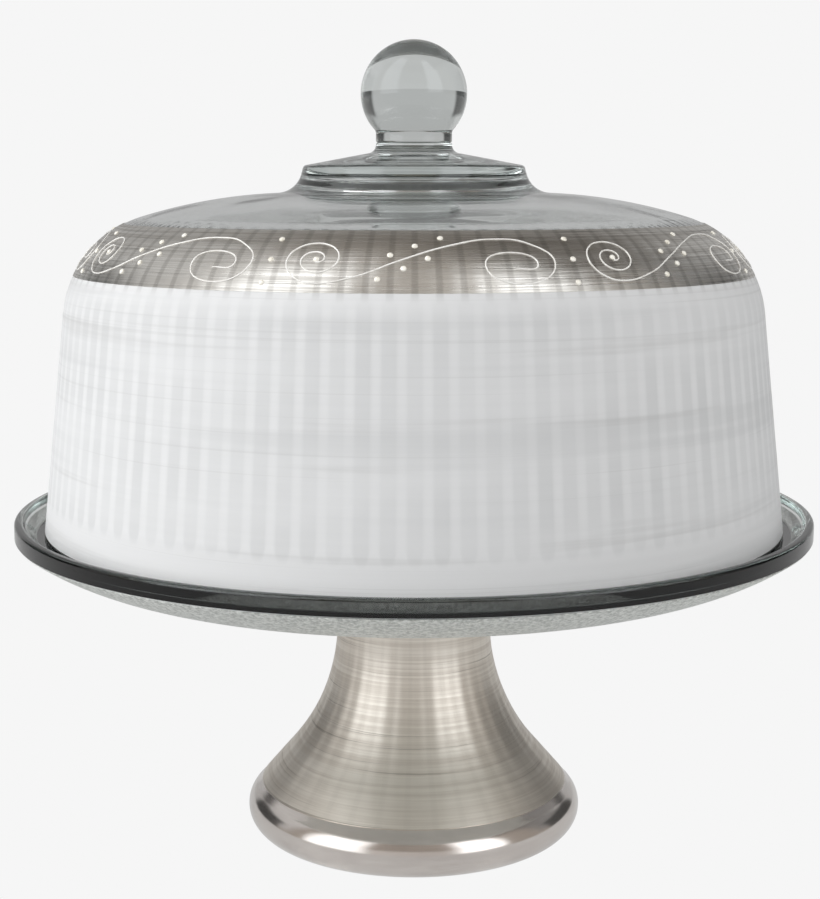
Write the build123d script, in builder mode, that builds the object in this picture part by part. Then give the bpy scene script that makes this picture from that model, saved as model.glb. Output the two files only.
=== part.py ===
from build123d import *
import os
from math import acos, atan2, cos, degrees, radians, sin, tan

# Footed cake stand with a lift-off glass cover, standing on Z = 0 with its axis on +Z.  All sizes
# are millimetres.  The stand is a dished glass plate fused to a hollow flared glass pedestal.  The
# cover is a tall glass bell with a stepped collar and a solid ball knob.  Painted coats, raised
# enamel scrolls and raised enamel dots are thin solids of their own on the glass.

# ---------------------------------------------------------------- driving sizes: cover
cover_radius = 132.4            # outside radius of the bell's open edge
cover_draft = 6.4               # the wall leans in by this angle
cover_wall = 4.6
cover_height = 77.7             # height of the straight wall
shoulder_radius = 38.9
shoulder_turn = 66.4
crown_end = 89.7                # elevation of the crown's surface where the collar begins
collar_radius = 39.2            # top of the collar's side
collar_spread = 2.6             # the collar's side is this much wider where it meets the crown
collar_height = 9.4             # height of the collar's side
collar_fillet = 9.0             # concave curve between crown and collar
collar_round = 1.5
collar_rise = 10.6              # the collar's top climbs to the neck at this angle
recess_wall = 6.2               # glass between the collar's side and the recess below it
collar_roof = 6.0               # glass over that recess
recess_round = 4.0              # between the recess and its roof
recess_edge = 2.5               # between the recess and the crown

# ---------------------------------------------------------------- driving sizes: knob
neck_radius = 13.5
neck_fillet = 3.0
neck_stub = 3.2                 # the collar's own short neck, which the knob is fused to
knob_radius = 18.8
knob_neck = 3.9                 # straight neck below the ball
ball_fillet = 2.0

# ---------------------------------------------------------------- driving sizes: plate
rim_overhang = 10.6             # the plate reaches this far outside the cover
rim_rise = 5.5                  # the rim stands this far above the cover's ledge
rim_width = 2.8                 # flat top of the rim before its edges are rounded
rim_round = 1.1
rim_side = 5.6                  # upright outer side of the rim
seat_inner_gap = 6.0            # flat ledge inside the cover's wall
seat_outer_gap = 3.0            # flat ledge outside the cover's wall
seat_rise = 9.5                 # the ledge stands this far above the well's floor
dish_width = 45.2               # the underside curves up over this width
well_edge = 6.0                 # how much further out the well's floor is flat than the underside
well_fillet = 12.0              # between the well's floor and its slope
slope_fillet = 4.0              # between that slope and the ledge
plate_thickness = 5.6           # glass between the well's floor and the underside
undercoat_gap = 0.8             # bare glass between the coat on the underside and the rim

# ---------------------------------------------------------------- driving sizes: pedestal
pedestal_height = 99.4
stem_radius = 27.8              # narrowest outside radius
stem_length = 22.1              # straight stem above the flare
flare_share = 0.79              # 1 would bend the flare all the way down to the bead
foot_centre_radius = 53.0       # circle that the foot's round bead is bent along
foot_bead_radius = 8.7
foot_bead_height = 8.0          # centre of the bead above the table
foot_bead_top = 55.0            # elevation on the bead where the cone begins
foot_ring_width = 4.4           # flat ring that touches the table
foot_knee = 4.8                 # the inside turns outwards this far above the bead's centre
foot_lean = 0.5                 # the inside leans in by this much up to there
pedestal_wall = 4.8
pedestal_roof = 7.0             # solid glass between the hollow and the plate
pedestal_round = 5.0            # where the pedestal is fused to the plate
hollow_round = 6.0

# ---------------------------------------------------------------- driving sizes: coats and enamel
coat = 0.25                     # thickness of every painted coat
edge_gap = 1.5                  # bare glass between the frosted coat and the cover's open edge
band_bottom = 26.2              # elevations on the shoulder where the silver band starts and ends
band_top = 63.2
cone_gap = 1.9                  # bare cone between the silver coat and the bead
lining_gap = 2.0                # bare glass between the lining and the table
enamel_height = 0.35            # raised line above the silver coat
enamel_width = 0.9
dot_radius = 1.1

# ---------------------------------------------------------------- the enamel pattern
# Eight hand-painted scrolls go round the shoulder, two of the steps a little wider than the rest.
scroll_steps = [46.4, 46.5, 44.5, 44.5, 44.5, 44.5, 44.5, 44.6]
first_scroll = -136.2
# One scroll is laid out as (distance round, distance up) on a shoulder of the sizes below: an
# inner spiral, a long rising stroke and an open outer curl.
pattern_circle = 112.0          # circle that distances round are measured on
pattern_shoulder = 38.9         # shoulder that distances up are measured on
pattern_elevation = 22.0        # elevation where distances up start
pattern_middle = 30.0           # distance round of the scroll's middle
pattern_span = 48.0             # the pattern stays within this much of the shoulder's curve
spiral_eye = (0.7, 14.3)
spiral_turns = 2.0
spiral_start = 2.4
spiral_end = 10.2
spiral_squash = 0.84
stroke = [(13.0, 8.3), (24.4, 13.6), (40.0, 20.0), (54.0, 22.9)]
curl = [(65.0, 20.6), (71.2, 12.6), (61.4, 5.6), (49.9, 12.0), (58.6, 16.9), (65.7, 12.1), (58.3, 10.6)]
dots = [
    (22.4, 16.1), (29.6, 19.9), (37.5, 23.6),
    (19.2, 7.4), (26.4, 11.1), (33.4, 14.8),
    (-12.9, 22.7), (-13.4, 14.0), (-14.2, 5.8),
]

# ---------------------------------------------------------------- worked out from the sizes above
AXIS_PLANE = Plane.XZ
well_floor = pedestal_height + plate_thickness
seat_height = well_floor + seat_rise
rim_height = seat_height + rim_rise
plate_radius = cover_radius + rim_overhang
well_radius = plate_radius - dish_width
seat_outer = cover_radius + seat_outer_gap
seat_inner = cover_radius - cover_wall - seat_inner_gap
lean = radians(cover_draft)
shoulder_centre = (
    cover_radius - cover_height * tan(lean) - shoulder_radius * cos(lean),
    seat_height + cover_height - shoulder_radius * sin(lean),
)


def on_circle(centre, radius, elevation):
    """The point (radius, height) of a circle in the half section, at an elevation in degrees."""
    angle = radians(elevation)
    return (centre[0] + radius * cos(angle), centre[1] + radius * sin(angle))


def round_corner(sketch, corner, radius):
    """Rounds the corner of a half section that lies nearest to a (radius, height) point."""
    fillet(sketch.vertices().sort_by_distance(corner)[0], radius)


os.makedirs("parts", exist_ok=True)

# ================================================================ cake plate
# Flat well, sloping side, flat ledge for the cover and a rounded rim; the underside curves up from
# the well to the rim on one circle.
dish_rise = rim_height - rim_side - pedestal_height
dish_radius = (dish_width**2 + dish_rise**2) / (2 * dish_rise)
dish_turn = 2 * degrees(atan2(dish_rise, dish_width))
with BuildPart() as cake_plate:
    with BuildSketch(AXIS_PLANE) as plate_half:
        with BuildLine():
            under_flat = Line((0, pedestal_height), (well_radius, pedestal_height))
            under_dish = JernArc(under_flat @ 1, under_flat % 1, dish_radius, dish_turn)
            Polyline(
                under_dish @ 1,
                (plate_radius, rim_height),
                (plate_radius - rim_width, rim_height),
                (seat_outer, seat_height),
                (seat_inner, seat_height),
                (well_radius + well_edge, well_floor),
                (0, well_floor),
                (0, pedestal_height),
            )
        make_face()
        round_corner(plate_half, (plate_radius, rim_height), rim_round)
        round_corner(plate_half, (plate_radius - rim_width, rim_height), rim_round)
        round_corner(plate_half, (seat_inner, seat_height), slope_fillet)
        round_corner(plate_half, (well_radius + well_edge, well_floor), well_fillet)
    revolve(axis=Axis.Z)
cake_plate.part.label = "cake_plate"
export_step(cake_plate.part, "parts/cake_plate.step")

# ================================================================ coat under the plate
with BuildPart() as plate_undercoat:
    with BuildSketch(AXIS_PLANE):
        with BuildLine():
            coat_start = (stem_radius + pedestal_round, pedestal_height)
            coat_flat = Line(coat_start, (well_radius, pedestal_height))
            coat_turn = dish_turn - degrees(undercoat_gap / dish_radius)
            JernArc(coat_flat @ 1, coat_flat % 1, dish_radius, coat_turn)
            offset(amount=coat, side=Side.RIGHT)
        make_face()
    revolve(axis=Axis.Z)
plate_undercoat.part.label = "plate_undercoat"
export_step(plate_undercoat.part, "parts/plate_undercoat.step")

# ================================================================ pedestal
# The stem flares out to meet the plate.  Below, straight stem, flare and cone are tangent to each
# other, down to a round bead on a flat ring.  The flare's turn and radius follow from the place of
# the stem's foot above the bead.
bead_top = on_circle((foot_centre_radius, foot_bead_height), foot_bead_radius, foot_bead_top)
foot_outer = foot_centre_radius + (foot_bead_radius**2 - foot_bead_height**2) ** 0.5
foot_inner = foot_outer - foot_ring_width
flare_top = pedestal_height - stem_length
joint_foot = pedestal_height - pedestal_round
spread = bead_top[0] - stem_radius
drop = flare_top - bead_top[1]
flare_turn = 2 * flare_share * degrees(atan2(spread, drop))
flare_radius = (drop * sin(radians(flare_turn)) - spread * cos(radians(flare_turn))) / (
    1 - cos(radians(flare_turn))
)
stem_inside = stem_radius - pedestal_wall
hollow_top = pedestal_height - pedestal_roof
knee = (foot_inner - foot_lean, foot_bead_height + foot_knee)
with BuildPart() as pedestal:
    with BuildSketch(AXIS_PLANE) as pedestal_half:
        with BuildLine():
            joint = CenterArc((stem_radius + pedestal_round, joint_foot), pedestal_round, 90, 90)
            stem_side = Line(joint @ 1, (stem_radius, flare_top))
            flare = JernArc(stem_side @ 1, stem_side % 1, flare_radius, flare_turn)
            Line(flare @ 1, bead_top)
            ThreePointArc(
                bead_top,
                (foot_centre_radius + foot_bead_radius, foot_bead_height),
                (foot_outer, 0),
            )
            hollow_flare = JernArc(
                (stem_inside, flare_top), (0, -1), flare_radius + pedestal_wall, flare_turn
            )
            hollow_end = hollow_flare @ 1
            Polyline((foot_outer, 0), (foot_inner, 0), knee, hollow_end)
            Polyline(
                (stem_inside, flare_top),
                (stem_inside, hollow_top),
                (0, hollow_top),
                (0, pedestal_height),
                joint @ 0,
            )
        make_face()
        round_corner(pedestal_half, (stem_inside, hollow_top), hollow_round)
    revolve(axis=Axis.Z)
pedestal.part.label = "pedestal"
export_step(pedestal.part, "parts/pedestal.step")

# ================================================================ silver coat on the pedestal
with BuildPart() as pedestal_silver_coat:
    with BuildSketch(AXIS_PLANE):
        with BuildLine():
            coat_stem = Line((stem_radius, joint_foot), (stem_radius, flare_top))
            coat_flare = JernArc(coat_stem @ 1, coat_stem % 1, flare_radius, flare_turn)
            bare_share = cone_gap / ((coat_flare @ 1).Y - bead_top[1])
            coat_end = Vector(*bead_top) + (coat_flare @ 1 - Vector(*bead_top)) * bare_share
            Line(coat_flare @ 1, coat_end)
            offset(amount=coat, side=Side.LEFT)
        make_face()
    revolve(axis=Axis.Z)
pedestal_silver_coat.part.label = "pedestal_silver_coat"
export_step(pedestal_silver_coat.part, "parts/pedestal_silver_coat.step")

# ================================================================ silver lining inside the foot
lining_foot = Vector(foot_inner, 0) + (Vector(*knee) - Vector(foot_inner, 0)) * (lining_gap / knee[1])
with BuildPart() as pedestal_lining:
    with BuildSketch(AXIS_PLANE):
        with BuildLine():
            Polyline(lining_foot, knee, hollow_end)
            offset(amount=coat, side=Side.LEFT)
        make_face()
    revolve(axis=Axis.Z)
pedestal_lining.part.label = "pedestal_lining"
export_step(pedestal_lining.part, "parts/pedestal_lining.step")

# ================================================================ cover's bell
# Straight leaning wall, round shoulder, shallow crown and a stepped collar with a short neck.  The
# inside follows the outside at the wall's thickness, with a round recess below the collar.
crown_start = cover_draft + shoulder_turn
shoulder_head = on_circle(shoulder_centre, shoulder_radius, crown_start)
collar_foot_radius = collar_radius + collar_spread
crown_radius = (shoulder_head[0] - collar_foot_radius) / (
    cos(radians(crown_start)) - cos(radians(crown_end))
)
crown_centre = on_circle(shoulder_head, -crown_radius, crown_start)
recess_radius = collar_radius - recess_wall


def bell_curves(inset, end_radius):
    """Draws wall, shoulder and crown, inset from the outside, and returns the crown's end."""
    crown_stop = degrees(acos((end_radius - crown_centre[0]) / (crown_radius - inset)))
    side = Line(
        (cover_radius - inset / cos(lean), seat_height),
        on_circle(shoulder_centre, shoulder_radius - inset, cover_draft),
    )
    shoulder = JernArc(side @ 1, side % 1, shoulder_radius - inset, shoulder_turn)
    crown = JernArc(shoulder @ 1, shoulder % 1, crown_radius - inset, crown_stop - crown_start)
    return crown @ 1


with BuildPart() as dome_glass:
    with BuildSketch(AXIS_PLANE) as bell_half:
        with BuildLine():
            collar_foot = bell_curves(0, collar_foot_radius)
            collar_top = collar_foot.Y + collar_height
            neck_foot = collar_top + (collar_radius - neck_radius) * tan(radians(collar_rise))
            knob_joint = neck_foot + neck_stub
            Polyline(
                collar_foot,
                (collar_radius, collar_top),
                (neck_radius, neck_foot),
                (neck_radius, knob_joint),
                (0, knob_joint),
                (0, seat_height),
                (cover_radius, seat_height),
            )
        make_face()
        round_corner(bell_half, collar_foot, collar_fillet)
        round_corner(bell_half, (collar_radius, collar_top), collar_round)
        round_corner(bell_half, (neck_radius, neck_foot), neck_fillet)
    revolve(axis=Axis.Z)
    with BuildSketch(AXIS_PLANE) as inside_half:
        with BuildLine():
            recess_foot = bell_curves(cover_wall, recess_radius)
            recess_top = collar_top - collar_roof
            Polyline(
                recess_foot,
                (recess_radius, recess_top),
                (0, recess_top),
                (0, seat_height),
                (cover_radius - cover_wall / cos(lean), seat_height),
            )
        make_face()
        round_corner(inside_half, (recess_radius, recess_top), recess_round)
        round_corner(inside_half, recess_foot, recess_edge)
    revolve(axis=Axis.Z, mode=Mode.SUBTRACT)
dome_glass.part.label = "dome_glass"
export_step(dome_glass.part, "parts/dome_glass.step")

# ================================================================ knob
ball_foot = knob_joint + knob_neck
ball_centre = ball_foot + (knob_radius**2 - neck_radius**2) ** 0.5
with BuildPart() as knob:
    with BuildSketch(AXIS_PLANE) as knob_half:
        with BuildLine():
            ThreePointArc(
                (0, ball_centre + knob_radius),
                (knob_radius, ball_centre),
                (neck_radius, ball_foot),
            )
            Polyline(
                (neck_radius, ball_foot),
                (neck_radius, knob_joint),
                (0, knob_joint),
                (0, ball_centre + knob_radius),
            )
        make_face()
        round_corner(knob_half, (neck_radius, ball_foot), ball_fillet)
    revolve(axis=Axis.Z)
knob.part.label = "knob"
export_step(knob.part, "parts/knob.step")

# ================================================================ silver band on the shoulder
with BuildPart() as silver_band:
    with BuildSketch(AXIS_PLANE):
        with BuildLine():
            CenterArc(shoulder_centre, shoulder_radius, band_bottom, band_top - band_bottom)
            offset(amount=coat, side=Side.RIGHT)
        make_face()
    revolve(axis=Axis.Z)
silver_band.part.label = "silver_band"
export_step(silver_band.part, "parts/silver_band.step")

# ================================================================ frosted coat on the wall
with BuildPart() as frosted_band:
    with BuildSketch(AXIS_PLANE):
        with BuildLine():
            coated_wall = Line(
                (cover_radius - edge_gap * tan(lean), seat_height + edge_gap),
                on_circle(shoulder_centre, shoulder_radius, cover_draft),
            )
            JernArc(coated_wall @ 1, coated_wall % 1, shoulder_radius, band_bottom - cover_draft)
            offset(amount=coat, side=Side.RIGHT)
        make_face()
    revolve(axis=Axis.Z)
frosted_band.part.label = "frosted_band"
export_step(frosted_band.part, "parts/frosted_band.step")

# ================================================================ raised enamel scrolls
# One scroll is drawn on a plane that touches the shoulder, cut out of a thin shell on the silver
# coat, and copied round the shoulder.


def pattern_point(distance, climb, out=0.0):
    """A point of the enamel pattern in space, for a scroll whose middle is on the +X side."""
    elevation = pattern_elevation + degrees(climb / pattern_shoulder)
    turn = (distance - pattern_middle) / pattern_circle
    radius, height = on_circle(shoulder_centre, shoulder_radius + out, elevation)
    return Vector(radius * cos(turn), radius * sin(turn), height)


def scroll_path():
    """The scroll's centre line in the pattern, from the spiral's eye to the curl's open end."""
    points = []
    samples = 24
    for index in range(samples + 1):
        share = index / samples
        angle = radians(270 - 360 * spiral_turns * (1 - share))
        reach = spiral_start + (spiral_end - spiral_start) * share
        points.append(
            (spiral_eye[0] + reach * cos(angle), spiral_eye[1] + spiral_squash * reach * sin(angle))
        )
    return Spline(*points, *stroke, *curl)


def scroll_side(path, plane, gap, samples=150):
    """One edge of the painted line, as points on a plane."""
    points = []
    for index in range(samples + 1):
        share = index / samples
        place = path @ share + (path % share).rotate(Axis.Z, 90) * gap
        local = plane.to_local_coords(pattern_point(place.X, place.Y, coat))
        points.append((local.X, local.Y))
    return points


scroll_angles = [first_scroll + sum(scroll_steps[: count + 1]) for count in range(len(scroll_steps))]
tangent_elevation = pattern_elevation + pattern_span / 2
tangent_plane = Plane(
    origin=pattern_point(pattern_middle, radians(pattern_span / 2) * pattern_shoulder),
    x_dir=(0, 1, 0),
    z_dir=(cos(radians(tangent_elevation)), 0, sin(radians(tangent_elevation))),
)
centre_line = scroll_path()
with BuildPart() as one_scroll:
    with BuildSketch(tangent_plane):
        with BuildLine():
            left_side = Spline(*scroll_side(centre_line, tangent_plane, enamel_width / 2))
            right_side = Spline(*scroll_side(centre_line, tangent_plane, -enamel_width / 2))
            Line(left_side @ 0, right_side @ 0)
            Line(left_side @ 1, right_side @ 1)
        make_face()
    extrude(amount=shoulder_radius / 2, both=True)
    with BuildSketch(AXIS_PLANE):
        with BuildLine():
            CenterArc(shoulder_centre, shoulder_radius + coat, pattern_elevation, pattern_span)
            offset(amount=enamel_height, side=Side.RIGHT)
        make_face()
    revolve(axis=Axis.Z, mode=Mode.INTERSECT)
with BuildPart() as scroll_lines:
    for angle in scroll_angles:
        add(one_scroll.part, rotation=(0, 0, angle))
scroll_lines.part.label = "scroll_lines"
export_step(scroll_lines.part, "parts/scroll_lines.step")

# ================================================================ raised enamel dots
# Half balls, one in each spiral's eye and the rest beside the strokes, flat side on the coat.
with BuildPart() as one_cluster:
    for distance, climb in [spiral_eye, *dots]:
        base = pattern_point(distance, climb, coat)
        outward = pattern_point(distance, climb, coat + dot_radius) - base
        with Locations(Plane(base, z_dir=outward)):
            Sphere(dot_radius, arc_size1=0, align=(Align.CENTER, Align.CENTER, Align.MIN))
with BuildPart() as pearl_dots:
    for angle in scroll_angles:
        add(one_cluster.part, rotation=(0, 0, angle))
pearl_dots.part.label = "pearl_dots"
export_step(pearl_dots.part, "parts/pearl_dots.step")
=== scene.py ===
"""A footed glass cake stand with a lift-off domed cover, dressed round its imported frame."""

import logging
import math
from dataclasses import dataclass, field
from enum import Enum
from typing import Callable

import bmesh
import bpy
from mathutils import Matrix, Vector


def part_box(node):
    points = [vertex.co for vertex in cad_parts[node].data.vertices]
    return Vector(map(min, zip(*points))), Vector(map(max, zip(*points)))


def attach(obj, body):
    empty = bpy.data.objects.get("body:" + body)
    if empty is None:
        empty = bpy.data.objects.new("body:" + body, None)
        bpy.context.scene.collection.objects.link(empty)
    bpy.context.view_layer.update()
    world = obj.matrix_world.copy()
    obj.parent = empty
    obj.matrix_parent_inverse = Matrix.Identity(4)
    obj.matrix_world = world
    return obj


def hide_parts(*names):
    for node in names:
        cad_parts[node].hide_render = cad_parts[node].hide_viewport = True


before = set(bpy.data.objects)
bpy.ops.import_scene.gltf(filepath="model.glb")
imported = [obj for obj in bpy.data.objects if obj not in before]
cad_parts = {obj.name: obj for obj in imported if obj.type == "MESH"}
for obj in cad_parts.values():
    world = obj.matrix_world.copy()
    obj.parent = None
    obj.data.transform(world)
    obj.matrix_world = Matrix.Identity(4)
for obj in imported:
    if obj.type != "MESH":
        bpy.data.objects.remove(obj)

log = logging.getLogger("cake_stand")

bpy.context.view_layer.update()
MM = 0.001
HAIR_GAP = 0.00003          # air left between two skins so that their faces never coincide
WELD = 2e-7                 # vertices closer than this are one
CAP_WELD = 1e-6             # the same for a scroll's end caps, which come unwelded
RIB_LEVELS = 10             # a rib's relief is pressed in this many levels
RIB_BELT = 8 * MM           # and in belts this wide, so that each level is as deep everywhere

Point = tuple[float, float]
Point3 = tuple[float, float, float]
Colour = tuple[float, float, float, float]


class Body(Enum):
    """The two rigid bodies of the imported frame."""

    STAND = "stand"
    COVER = "cover"


# ------------------------------------------------------------------ shader expressions


class Value:
    """One output of a finish's nodes.  The usual operators on it add Math nodes."""

    def __init__(self, recipe: "Recipe", socket: bpy.types.NodeSocket) -> None:
        """Keeps the recipe that the socket belongs to."""
        self.recipe = recipe
        self.socket = socket

    def math(self, operation: str, *others: "float | Value") -> "Value":
        """Adds a Math node that works on this value first."""
        return self.recipe.math(operation, self, *others)

    def __add__(self, other: "float | Value") -> "Value":
        """Adds."""
        return self.math("ADD", other)

    __radd__ = __add__

    def __mul__(self, other: "float | Value") -> "Value":
        """Multiplies."""
        return self.math("MULTIPLY", other)

    __rmul__ = __mul__

    def __sub__(self, other: "float | Value") -> "Value":
        """Subtracts."""
        return self.math("SUBTRACT", other)

    def __rsub__(self, other: float) -> "Value":
        """Subtracts this value from a number."""
        return self.recipe.math("SUBTRACT", other, self)


class Recipe:
    """The node tree of one material or world, with a method for any node."""

    def __init__(self, holder: bpy.types.Material | bpy.types.World) -> None:
        """Empties the node tree of a new material or world."""
        self.holder = holder
        holder.use_nodes = True
        self.tree = holder.node_tree
        self.tree.nodes.clear()

    @classmethod
    def of_material(cls, name: str) -> "Recipe":
        """Starts a new material."""
        return cls(bpy.data.materials.new(name))

    def node(
        self,
        kind: str,
        settings: dict | None = None,
        values: dict | None = None,
        output: int | str = 0,
    ) -> Value:
        """Adds a node.

        Args:
            kind: the node's type, without the ShaderNode prefix.
            settings: what is set on the node itself.
            values: a number, a colour or a Value for each input, by name or by index.
            output: the output that is wanted.

        Returns:
            The output as a Value.
        """
        node = self.tree.nodes.new("ShaderNode" + kind)
        for key, setting in (settings or {}).items():
            setattr(node, key, setting)
        for key, value in (values or {}).items():
            if isinstance(value, Value):
                self.tree.links.new(value.socket, node.inputs[key])
            else:
                node.inputs[key].default_value = value
        return Value(self, node.outputs[output])

    def math(self, operation: str, *terms: "float | Value") -> Value:
        """Adds a Math node.

        Args:
            operation: what the node does.
            terms: its inputs in order.

        Returns:
            The result.
        """
        return self.node("Math", {"operation": operation}, dict(enumerate(terms)))

    def mix(self, factor: "float | Value", first: "Colour | Value", second: "Colour | Value") -> Value:
        """Mixes two colours.

        Args:
            factor: 0 for the first colour, 1 for the second.
            first: a colour.
            second: another colour.

        Returns:
            The mixed colour.
        """
        values = {0: factor, 6: first, 7: second}
        return self.node("Mix", {"data_type": "RGBA"}, values, output=2)

    def ramp(self, value: Value, low: float, high: float) -> Value:
        """Rises smoothly from 0 where value is low to 1 where it is high."""
        values = {"Value": value, "From Min": low, "From Max": high}
        return self.node("MapRange", {"interpolation_type": "SMOOTHSTEP"}, values)

    def combine(self, x: "float | Value", y: "float | Value", z: "float | Value") -> Value:
        """Makes a vector of three values."""
        return self.node("CombineXYZ", None, {"X": x, "Y": y, "Z": z})

    def noise(self, vector: Value, scale: float, detail: float = 2.0, roughness: float = 0.5) -> Value:
        """Adds a noise texture on a vector and returns its value."""
        values = {"Vector": vector, "Scale": scale, "Detail": detail, "Roughness": roughness}
        return self.node("TexNoise", None, values)

    def bump(self, height: Value, distance: float, strength: float = 1.0) -> Value:
        """Turns a height into a normal."""
        values = {"Height": height, "Distance": distance, "Strength": strength}
        return self.node("Bump", None, values)

    def finish(self, shader: Value, volume: Value | None = None) -> bpy.types.Material:
        """Connects the shader, and a volume for coloured glass, and returns the material or world."""
        kind = "OutputWorld" if isinstance(self.holder, bpy.types.World) else "OutputMaterial"
        ends = {"Surface": shader}
        if volume is not None:
            ends["Volume"] = volume
        output = self.tree.nodes.new("ShaderNode" + kind)
        for name, value in ends.items():
            self.tree.links.new(value.socket, output.inputs[name])
        return self.holder


@dataclass
class Place:
    """Where a point of a turned piece is, as values of a recipe."""

    x: Value
    y: Value
    z: Value
    turn: Value          # angle round the axis
    radius: Value

    @classmethod
    def of(cls, recipe: Recipe) -> "Place":
        """Reads Object coordinates; every piece sits at the origin, so they are the frame's own."""
        point = recipe.node("TexCoord", None, None, "Object")
        x, y, z = (
            recipe.node("SeparateXYZ", None, {"Vector": point}, axis) for axis in ("X", "Y", "Z")
        )
        turn = recipe.math("ARCTAN2", y, x)
        radius = (x * x + y * y).math("SQRT")
        return cls(x, y, z, turn, radius)

    def spot(self) -> Value:
        """The point itself, as a vector for a texture."""
        return self.x.recipe.combine(self.x, self.y, self.z)

    def ribs(self, count: int) -> Value:
        """A wave from 0 to 1 with this many crests round the axis."""
        return (self.turn * count).math("COSINE") * 0.5 + 0.5

    def brushed(self, along: float, across: float, height: Value | None = None) -> Value:
        """Noise drawn out round the axis.

        Args:
            along: its scale along the brushing, per metre.
            across: its scale across the brushing, per metre.
            height: what counts as across, or None for the height above the table.

        Returns:
            The noise, from 0 to 1.
        """
        recipe = self.x.recipe
        climb = self.z if height is None else height
        return recipe.noise(recipe.combine(self.x * along, self.y * along, climb * across), 1.0, 3.0, 0.6)


# ------------------------------------------------------------------ finishes


@dataclass(frozen=True)
class ClearGlass:
    """Pressed clear glass, slightly grey where it is thick."""

    name: str = "clear_glass"
    tint: Colour = (0.985, 0.995, 0.99, 1)
    depth_tint: Colour = (0.46, 0.55, 0.53, 1)
    density: float = 9.0
    roughness: float = 0.0
    ior: float = 1.5
    wave_depth: float = 0.8 * MM

    def make(self) -> bpy.types.Material:
        """Builds the material."""
        recipe = Recipe.of_material(self.name)
        place = Place.of(recipe)
        waves = recipe.noise(place.spot(), 38.0, 1.0)
        shader = recipe.node("BsdfPrincipled", None, {
            "Base Color": self.tint,
            "Roughness": self.roughness,
            "IOR": self.ior,
            "Transmission Weight": 1.0,
            "Normal": recipe.bump(waves, self.wave_depth, 0.08),
        })
        depth = recipe.node("VolumeAbsorption", None, {"Color": self.depth_tint, "Density": self.density})
        return recipe.finish(shader, depth)


@dataclass(frozen=True)
class SilveredGlass:
    """Clear glass with bright silver fired behind it, as on the pedestal's foot."""

    silver: Colour = (0.86, 0.80, 0.755, 1)
    worn: Colour = (0.60, 0.54, 0.50, 1)
    clear_share: float = 0.16

    def make(self) -> bpy.types.Material:
        """Builds the material."""
        recipe = Recipe.of_material("silvered_glass")
        place = Place.of(recipe)
        broad = place.brushed(26.0, 150.0)
        waves = recipe.noise(place.spot(), 90.0, 1.0)
        normal = recipe.bump(waves, 0.5 * MM, 0.20)
        mirror = recipe.node("BsdfPrincipled", None, {
            "Base Color": recipe.mix(recipe.ramp(broad, 0.35, 0.75) * 0.5, self.silver, self.worn),
            "Metallic": 1.0,
            "Roughness": 0.10 + broad * 0.12,
            "Coat Weight": 0.6,
            "Normal": normal,
        })
        clear = recipe.node("BsdfPrincipled", None, {
            "Base Color": (0.98, 0.99, 0.985, 1),
            "Roughness": 0.0,
            "Transmission Weight": 1.0,
            "Normal": normal,
        })
        shader = recipe.node("MixShader", None, {0: self.clear_share, 1: mirror, 2: clear})
        return recipe.finish(shader)


@dataclass(frozen=True)
class BrushedBand:
    """Silver foil coat on the cover's shoulder, brushed round the axis over the glass ribs, with painted
    shade darkening its upper part and painted shade lines in the rib grooves.
    """

    centre_radius: float
    centre_height: float
    rib_count: int
    light: Colour = (0.86, 0.84, 0.80, 1)
    dark: Colour = (0.34, 0.31, 0.27, 1)
    # line is the colour of the dark hairlines and of the painted shade in the grooves between the ribs;
    # rib_tint is how strong that painted shade is.
    line: Colour = (0.10, 0.085, 0.07, 1)
    rib_tint: float = 0.26
    roughness: float = 0.24

    def make(self) -> bpy.types.Material:
        """Builds the material."""
        recipe = Recipe.of_material("brushed_silver_band")
        place = Place.of(recipe)
        climb = recipe.math("ARCTAN2", place.z - self.centre_height, place.radius - self.centre_radius)
        broad = place.brushed(7.0, 5.0, climb)
        fine = recipe.ramp(place.brushed(10.0, 75.0, climb), 0.30, 0.72)
        hairline = recipe.ramp(place.brushed(16.0, 130.0, climb), 0.58, 0.68)
        # ribs masks the grooves between the raised ribs, for the painted shade below.
        ribs = recipe.ramp(place.ribs(self.rib_count), 0.68, 0.97)
        # Painted shade: top mixes the colour towards dark up the shoulder, for the dim ceiling that the
        # metal reflects there, and makes the dark hairlines stronger there too.
        top = recipe.ramp(climb, math.radians(32), math.radians(60))
        shade = broad * 0.50 + fine * 0.42 + top * 0.42 - 0.30
        colour = recipe.mix(shade, self.light, self.dark)
        colour = recipe.mix(hairline * (0.25 + 0.5 * top), colour, self.line)
        # Painted shade: dark lines along the grooves between the raised ribs.
        colour = recipe.mix(ribs * self.rib_tint, colour, self.line)
        shader = recipe.node("BsdfPrincipled", None, {
            "Base Color": colour,
            "Metallic": 1.0,
            "Roughness": self.roughness + fine * 0.16,
            "Normal": recipe.bump(fine + hairline * 0.6, 0.06 * MM, 0.5),
        })
        return recipe.finish(shader)


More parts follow.
